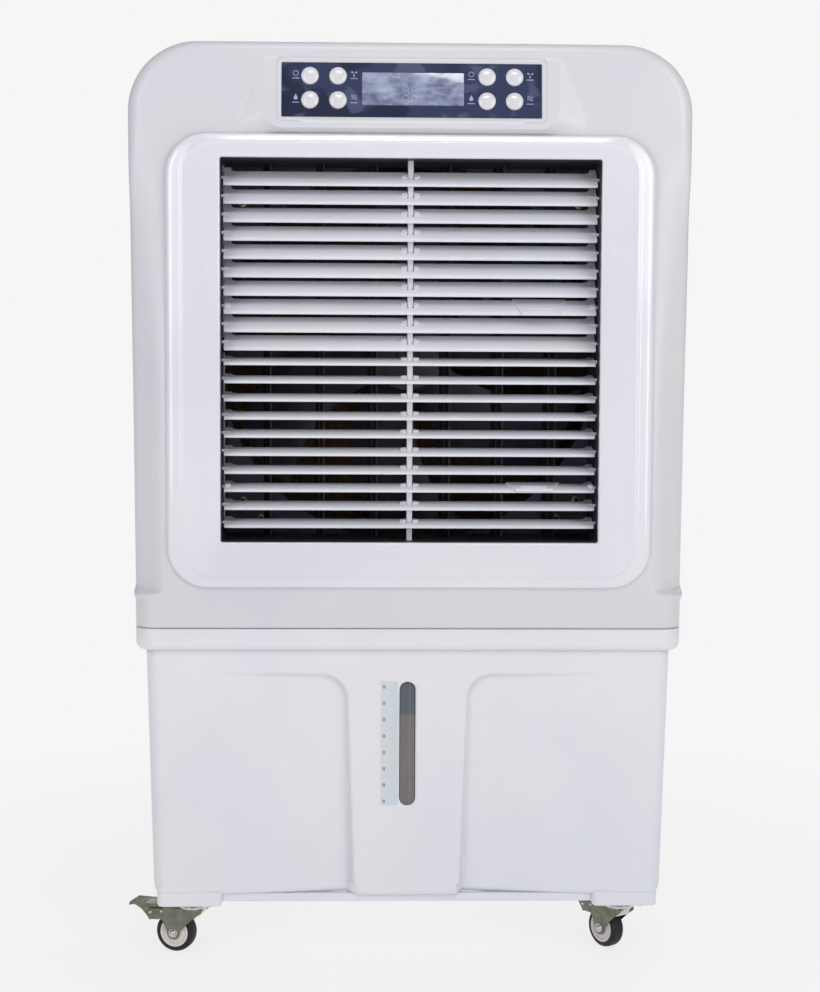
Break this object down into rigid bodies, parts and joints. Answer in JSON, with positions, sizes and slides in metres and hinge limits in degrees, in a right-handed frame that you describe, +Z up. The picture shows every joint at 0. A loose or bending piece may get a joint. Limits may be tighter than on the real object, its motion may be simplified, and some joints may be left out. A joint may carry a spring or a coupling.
{
  "type": "evaporative cooler",
  "caption": "Tall white evaporative air cooler on swivel casters: louvred air outlet with swing vanes, fan, wet pad and rear grille above a water tank with a sight window.",
  "frame": {"origin": "on the floor, under the middle of the cabinet", "axes": "+Z up, the front with its louvres faces -Y, +X is to the right of someone who looks at the front"},
  "size_m": [0.6903, 0.451, 1.118],
  "materials": {
    "housing_white": "satin",
    "louvre_white": "satin",
    "tank_white": "satin",
    "panel_navy": "gloss",
    "button_white": "satin",
    "vane_black": "satin",
    "link_grey": "satin",
    "shroud_grey": "matte",
    "fan_grey": "satin",
    "motor_grey": "satin",
    "screw_brass": "satin",
    "pad_brown": "matte",
    "grille_white": "satin",
    "pump_black": "matte",
    "window_smoke": "gloss",
    "caster_steel": "satin",
    "wheel_rubber": "matte"
  },
  "bodies": {
    "cabinet": {"front_housing": "housing_white", "rear_housing": "housing_white", "louvre_frame": "louvre_white", "fan_shroud": "shroud_grey", "fan_motor": "motor_grey", "shroud_screws": "screw_brass", "control_panel": "panel_navy", "water_tank": "tank_white", "sight_window": "window_smoke", "water_pump": "pump_black", "cooling_pad": "pad_brown", "rear_grille": "grille_white", "caster_plates": "caster_steel"},
    "link_bar_upper": {"link_bar_upper": "link_grey"},
    "link_bar_lower": {"link_bar_lower": "link_grey"},
    "fan_impeller": {"fan_impeller": "fan_grey"},
    "button_1": {"button_1": "button_white"},
    "button_2": {"button_2": "button_white"},
    "button_3": {"button_3": "button_white"},
    "button_4": {"button_4": "button_white"},
    "button_5": {"button_5": "button_white"},
    "button_6": {"button_6": "button_white"},
    "button_7": {"button_7": "button_white"},
    "button_8": {"button_8": "button_white"},
    "louvre_blade_01": {"louvre_blade_01": "louvre_white"},
    "louvre_blade_02": {"louvre_blade_02": "louvre_white"},
    "louvre_blade_03": {"louvre_blade_03": "louvre_white"},
    "louvre_blade_04": {"louvre_blade_04": "louvre_white"},
    "louvre_blade_05": {"louvre_blade_05": "louvre_white"},
    "louvre_blade_06": {"louvre_blade_06": "louvre_white"},
    "louvre_blade_07": {"louvre_blade_07": "louvre_white"},
    "louvre_blade_08": {"louvre_blade_08": "louvre_white"},
    "louvre_blade_09": {"louvre_blade_09": "louvre_white"},
    "louvre_blade_10": {"louvre_blade_10": "louvre_white"},
    "louvre_blade_11": {"louvre_blade_11": "louvre_white"},
    "louvre_blade_12": {"louvre_blade_12": "louvre_white"},
    "louvre_blade_13": {"louvre_blade_13": "louvre_white"},
    "louvre_blade_14": {"louvre_blade_14": "louvre_white"},
    "louvre_blade_15": {"louvre_blade_15": "louvre_white"},
    "louvre_blade_16": {"louvre_blade_16": "louvre_white"},
    "louvre_blade_17": {"louvre_blade_17": "louvre_white"},
    "louvre_blade_18": {"louvre_blade_18": "louvre_white"},
    "louvre_blade_19": {"louvre_blade_19": "louvre_white"},
    "louvre_blade_20": {"louvre_blade_20": "louvre_white"},
    "swing_vane_1": {"swing_vane_1": "vane_black"},
    "swing_vane_2": {"swing_vane_2": "vane_black"},
    "swing_vane_3": {"swing_vane_3": "vane_black"},
    "swing_vane_4": {"swing_vane_4": "vane_black"},
    "swing_vane_5": {"swing_vane_5": "vane_black"},
    "swing_vane_6": {"swing_vane_6": "vane_black"},
    "caster_yoke_front_left": {"caster_yoke_front_left": "caster_steel"},
    "caster_wheel_front_left": {"caster_wheel_front_left": "wheel_rubber"},
    "caster_yoke_front_right": {"caster_yoke_front_right": "caster_steel"},
    "caster_wheel_front_right": {"caster_wheel_front_right": "wheel_rubber"},
    "caster_yoke_rear_left": {"caster_yoke_rear_left": "caster_steel"},
    "caster_wheel_rear_left": {"caster_wheel_rear_left": "wheel_rubber"},
    "caster_yoke_rear_right": {"caster_yoke_rear_right": "caster_steel"},
    "caster_wheel_rear_right": {"caster_wheel_rear_right": "wheel_rubber"},
    "brake_pedal_front_left": {"brake_pedal_front_left": "caster_steel"},
    "brake_pedal_front_right": {"brake_pedal_front_right": "caster_steel"}
  },
  "joints": [
    {"name": "blade_01_tilt", "type": "hinge", "parent": "cabinet", "child": "louvre_blade_01", "pos_m": [0, -0.19, 0.959], "axis": [1, 0, 0], "range_deg": [-42, 18]},
    {"name": "blade_02_tilt", "type": "hinge", "parent": "cabinet", "child": "louvre_blade_02", "pos_m": [0, -0.19, 0.9371], "axis": [1, 0, 0], "range_deg": [-42, 18]},
    {"name": "blade_03_tilt", "type": "hinge", "parent": "cabinet", "child": "louvre_blade_03", "pos_m": [0, -0.19, 0.9152], "axis": [1, 0, 0], "range_deg": [-42, 18]},
    {"name": "blade_04_tilt", "type": "hinge", "parent": "cabinet", "child": "louvre_blade_04", "pos_m": [0, -0.19, 0.8933], "axis": [1, 0, 0], "range_deg": [-42, 18]},
    {"name": "blade_05_tilt", "type": "hinge", "parent": "cabinet", "child": "louvre_blade_05", "pos_m": [0, -0.19, 0.8714], "axis": [1, 0, 0], "range_deg": [-42, 18]},
    {"name": "blade_06_tilt", "type": "hinge", "parent": "cabinet", "child": "louvre_blade_06", "pos_m": [0, -0.19, 0.8495], "axis": [1, 0, 0], "range_deg": [-42, 18]},
    {"name": "blade_07_tilt", "type": "hinge", "parent": "cabinet", "child": "louvre_blade_07", "pos_m": [0, -0.19, 0.8276], "axis": [1, 0, 0], "range_deg": [-42, 18]},
    {"name": "blade_08_tilt", "type": "hinge", "parent": "cabinet", "child": "louvre_blade_08", "pos_m": [0, -0.19, 0.8057], "axis": [1, 0, 0], "range_deg": [-42, 18]},
    {"name": "blade_09_tilt", "type": "hinge", "parent": "cabinet", "child": "louvre_blade_09", "pos_m": [0, -0.19, 0.7838], "axis": [1, 0, 0], "range_deg": [-42, 18]},
    {"name": "blade_10_tilt", "type": "hinge", "parent": "cabinet", "child": "louvre_blade_10", "pos_m": [0, -0.19, 0.7619], "axis": [1, 0, 0], "range_deg": [-42, 18]},
    {"name": "link_upper_swing", "type": "hinge", "parent": "louvre_blade_08", "child": "link_bar_upper", "pos_m": [-0.2263, -0.17602, 0.81623], "axis": [1, 0, 0], "range_deg": [-18, 42]},
    {"name": "blade_11_tilt", "type": "hinge", "parent": "cabinet", "child": "louvre_blade_11", "pos_m": [0, -0.19, 0.74], "axis": [1, 0, 0], "range_deg": [-18, 37]},
    {"name": "blade_12_tilt", "type": "hinge", "parent": "cabinet", "child": "louvre_blade_12", "pos_m": [0, -0.19, 0.7181], "axis": [1, 0, 0], "range_deg": [-18, 37]},
    {"name": "blade_13_tilt", "type": "hinge", "parent": "cabinet", "child": "louvre_blade_13", "pos_m": [0, -0.19, 0.6962], "axis": [1, 0, 0], "range_deg": [-18, 37]},
    {"name": "blade_14_tilt", "type": "hinge", "parent": "cabinet", "child": "louvre_blade_14", "pos_m": [0, -0.19, 0.6743], "axis": [1, 0, 0], "range_deg": [-18, 37]},
    {"name": "blade_15_tilt", "type": "hinge", "parent": "cabinet", "child": "louvre_blade_15", "pos_m": [0, -0.19, 0.6524], "axis": [1, 0, 0], "range_deg": [-18, 37]},
    {"name": "blade_16_tilt", "type": "hinge", "parent": "cabinet", "child": "louvre_blade_16", "pos_m": [0, -0.19, 0.6305], "axis": [1, 0, 0], "range_deg": [-18, 37]},
    {"name": "blade_17_tilt", "type": "hinge", "parent": "cabinet", "child": "louvre_blade_17", "pos_m": [0, -0.19, 0.6086], "axis": [1, 0, 0], "range_deg": [-18, 37]},
    {"name": "blade_18_tilt", "type": "hinge", "parent": "cabinet", "child": "louvre_blade_18", "pos_m": [0, -0.19, 0.5867], "axis": [1, 0, 0], "range_deg": [-18, 37]},
    {"name": "blade_19_tilt", "type": "hinge", "parent": "cabinet", "child": "louvre_blade_19", "pos_m": [0, -0.19, 0.5648], "axis": [1, 0, 0], "range_deg": [-18, 37]},
    {"name": "blade_20_tilt", "type": "hinge", "parent": "cabinet", "child": "louvre_blade_20", "pos_m": [0, -0.19, 0.5429], "axis": [1, 0, 0], "range_deg": [-18, 37]},
    {"name": "link_lower_swing", "type": "hinge", "parent": "louvre_blade_18", "child": "link_bar_lower", "pos_m": [-0.2263, -0.17295, 0.59064], "axis": [1, 0, 0], "range_deg": [-37, 18]},
    {"name": "vane_1_swing", "type": "hinge", "parent": "cabinet", "child": "swing_vane_1", "pos_m": [-0.176, -0.128, 0.7509], "axis": [0, 0, 1], "range_deg": [-48, 22]},
    {"name": "vane_2_swing", "type": "hinge", "parent": "cabinet", "child": "swing_vane_2", "pos_m": [-0.1105, -0.128, 0.7509], "axis": [0, 0, 1], "range_deg": [-48, 22]},
    {"name": "vane_3_swing", "type": "hinge", "parent": "cabinet", "child": "swing_vane_3", "pos_m": [-0.045, -0.128, 0.7509], "axis": [0, 0, 1], "range_deg": [-48, 22]},
    {"name": "vane_4_swing", "type": "hinge", "parent": "cabinet", "child": "swing_vane_4", "pos_m": [0.045, -0.128, 0.7509], "axis": [0, 0, 1], "range_deg": [-48, 22]},
    {"name": "vane_5_swing", "type": "hinge", "parent": "cabinet", "child": "swing_vane_5", "pos_m": [0.1105, -0.128, 0.7509], "axis": [0, 0, 1], "range_deg": [-48, 22]},
    {"name": "vane_6_swing", "type": "hinge", "parent": "cabinet", "child": "swing_vane_6", "pos_m": [0.176, -0.128, 0.7509], "axis": [0, 0, 1], "range_deg": [-48, 22]},
    {"name": "fan_spin", "type": "hinge", "parent": "cabinet", "child": "fan_impeller", "pos_m": [0, -0.045, 0.75], "axis": [0, 1, 0], "continuous": true},
    {"name": "button_1_press", "type": "slide", "parent": "cabinet", "child": "button_1", "axis": [0, 0.9913, -0.1314], "range_m": [0, 0.002], "stiffness_N_per_m": 400, "springref_m": -0.0005},
    {"name": "button_2_press", "type": "slide", "parent": "cabinet", "child": "button_2", "axis": [0, 0.9913, -0.1314], "range_m": [0, 0.002], "stiffness_N_per_m": 400, "springref_m": -0.0005},
    {"name": "button_3_press", "type": "slide", "parent": "cabinet", "child": "button_3", "axis": [0, 0.9913, -0.1314], "range_m": [0, 0.002], "stiffness_N_per_m": 400, "springref_m": -0.0005},
    {"name": "button_4_press", "type": "slide", "parent": "cabinet", "child": "button_4", "axis": [0, 0.9913, -0.1314], "range_m": [0, 0.002], "stiffness_N_per_m": 400, "springref_m": -0.0005},
    {"name": "button_5_press", "type": "slide", "parent": "cabinet", "child": "button_5", "axis": [0, 0.9913, -0.1314], "range_m": [0, 0.002], "stiffness_N_per_m": 400, "springref_m": -0.0005},
    {"name": "button_6_press", "type": "slide", "parent": "cabinet", "child": "button_6", "axis": [0, 0.9913, -0.1314], "range_m": [0, 0.002], "stiffness_N_per_m": 400, "springref_m": -0.0005},
    {"name": "button_7_press", "type": "slide", "parent": "cabinet", "child": "button_7", "axis": [0, 0.9913, -0.1314], "range_m": [0, 0.002], "stiffness_N_per_m": 400, "springref_m": -0.0005},
    {"name": "button_8_press", "type": "slide", "parent": "cabinet", "child": "button_8", "axis": [0, 0.9913, -0.1314], "range_m": [0, 0.002], "stiffness_N_per_m": 400, "springref_m": -0.0005},
    {"name": "swivel_front_left", "type": "hinge", "parent": "cabinet", "child": "caster_yoke_front_left", "pos_m": [-0.267, -0.164, 0.06], "axis": [0, 0, 1], "continuous": true},
    {"name": "wheel_front_left_roll", "type": "hinge", "parent": "caster_yoke_front_left", "child": "caster_wheel_front_left", "pos_m": [-0.28887, -0.15689, 0.025], "axis": [0.309, 0.9511, 0], "continuous": true},
    {"name": "brake_front_left_press", "type": "hinge", "parent": "caster_yoke_front_left", "child": "brake_pedal_front_left", "pos_m": [-0.31807, -0.14741, 0.049], "axis": [-0.309, -0.9511, 0], "range_deg": [0, 12]},
    {"name": "swivel_front_right", "type": "hinge", "parent": "cabinet", "child": "caster_yoke_front_right", "pos_m": [0.267, -0.164, 0.06], "axis": [0, 0, 1], "continuous": true},
    {"name": "wheel_front_right_roll", "type": "hinge", "parent": "caster_yoke_front_right", "child": "caster_wheel_front_right", "pos_m": [0.25364, -0.14527, 0.025], "axis": [0.8141, 0.5807, 0], "continuous": true},
    {"name": "brake_front_right_press", "type": "hinge", "parent": "caster_yoke_front_right", "child": "brake_pedal_front_right", "pos_m": [0.23582, -0.12028, 0.049], "axis": [-0.8141, -0.5807, 0], "range_deg": [0, 12]},
    {"name": "swivel_rear_left", "type": "hinge", "parent": "cabinet", "child": "caster_yoke_rear_left", "pos_m": [-0.267, 0.164, 0.06], "axis": [0, 0, 1], "continuous": true},
    {"name": "wheel_rear_left_roll", "type": "hinge", "parent": "caster_yoke_rear_left", "child": "caster_wheel_rear_left", "pos_m": [-0.2895, 0.15922, 0.025], "axis": [-0.2079, 0.9781, 0], "continuous": true},
    {"name": "swivel_rear_right", "type": "hinge", "parent": "cabinet", "child": "caster_yoke_rear_right", "pos_m": [0.267, 0.164, 0.06], "axis": [0, 0, 1], "continuous": true},
    {"name": "wheel_rear_right_roll", "type": "hinge", "parent": "caster_yoke_rear_right", "child": "caster_wheel_rear_right", "pos_m": [0.24816, 0.17719, 0.025], "axis": [0.5736, 0.8192, 0], "continuous": true}
  ],
  "couplings": [
    {"joint": "blade_01_tilt", "follows": "blade_08_tilt", "ratio": 1},
    {"joint": "blade_02_tilt", "follows": "blade_08_tilt", "ratio": 1},
    {"joint": "blade_03_tilt", "follows": "blade_08_tilt", "ratio": 1},
    {"joint": "blade_04_tilt", "follows": "blade_08_tilt", "ratio": 1},
    {"joint": "blade_05_tilt", "follows": "blade_08_tilt", "ratio": 1},
    {"joint": "blade_06_tilt", "follows": "blade_08_tilt", "ratio": 1},
    {"joint": "blade_07_tilt", "follows": "blade_08_tilt", "ratio": 1},
    {"joint": "blade_09_tilt", "follows": "blade_08_tilt", "ratio": 1},
    {"joint": "blade_10_tilt", "follows": "blade_08_tilt", "ratio": 1},
    {"joint": "link_upper_swing", "follows": "blade_08_tilt", "ratio": -1},
    {"joint": "blade_11_tilt", "follows": "blade_18_tilt", "ratio": 1},
    {"joint": "blade_12_tilt", "follows": "blade_18_tilt", "ratio": 1},
    {"joint": "blade_13_tilt", "follows": "blade_18_tilt", "ratio": 1},
    {"joint": "blade_14_tilt", "follows": "blade_18_tilt", "ratio": 1},
    {"joint": "blade_15_tilt", "follows": "blade_18_tilt", "ratio": 1},
    {"joint": "blade_16_tilt", "follows": "blade_18_tilt", "ratio": 1},
    {"joint": "blade_17_tilt", "follows": "blade_18_tilt", "ratio": 1},
    {"joint": "blade_19_tilt", "follows": "blade_18_tilt", "ratio": 1},
    {"joint": "blade_20_tilt", "follows": "blade_18_tilt", "ratio": 1},
    {"joint": "link_lower_swing", "follows": "blade_18_tilt", "ratio": -1},
    {"joint": "vane_1_swing", "follows": "vane_3_swing", "ratio": 1},
    {"joint": "vane_2_swing", "follows": "vane_3_swing", "ratio": 1},
    {"joint": "vane_4_swing", "follows": "vane_3_swing", "ratio": 1},
    {"joint": "vane_5_swing", "follows": "vane_3_swing", "ratio": 1},
    {"joint": "vane_6_swing", "follows": "vane_3_swing", "ratio": 1}
  ]
}
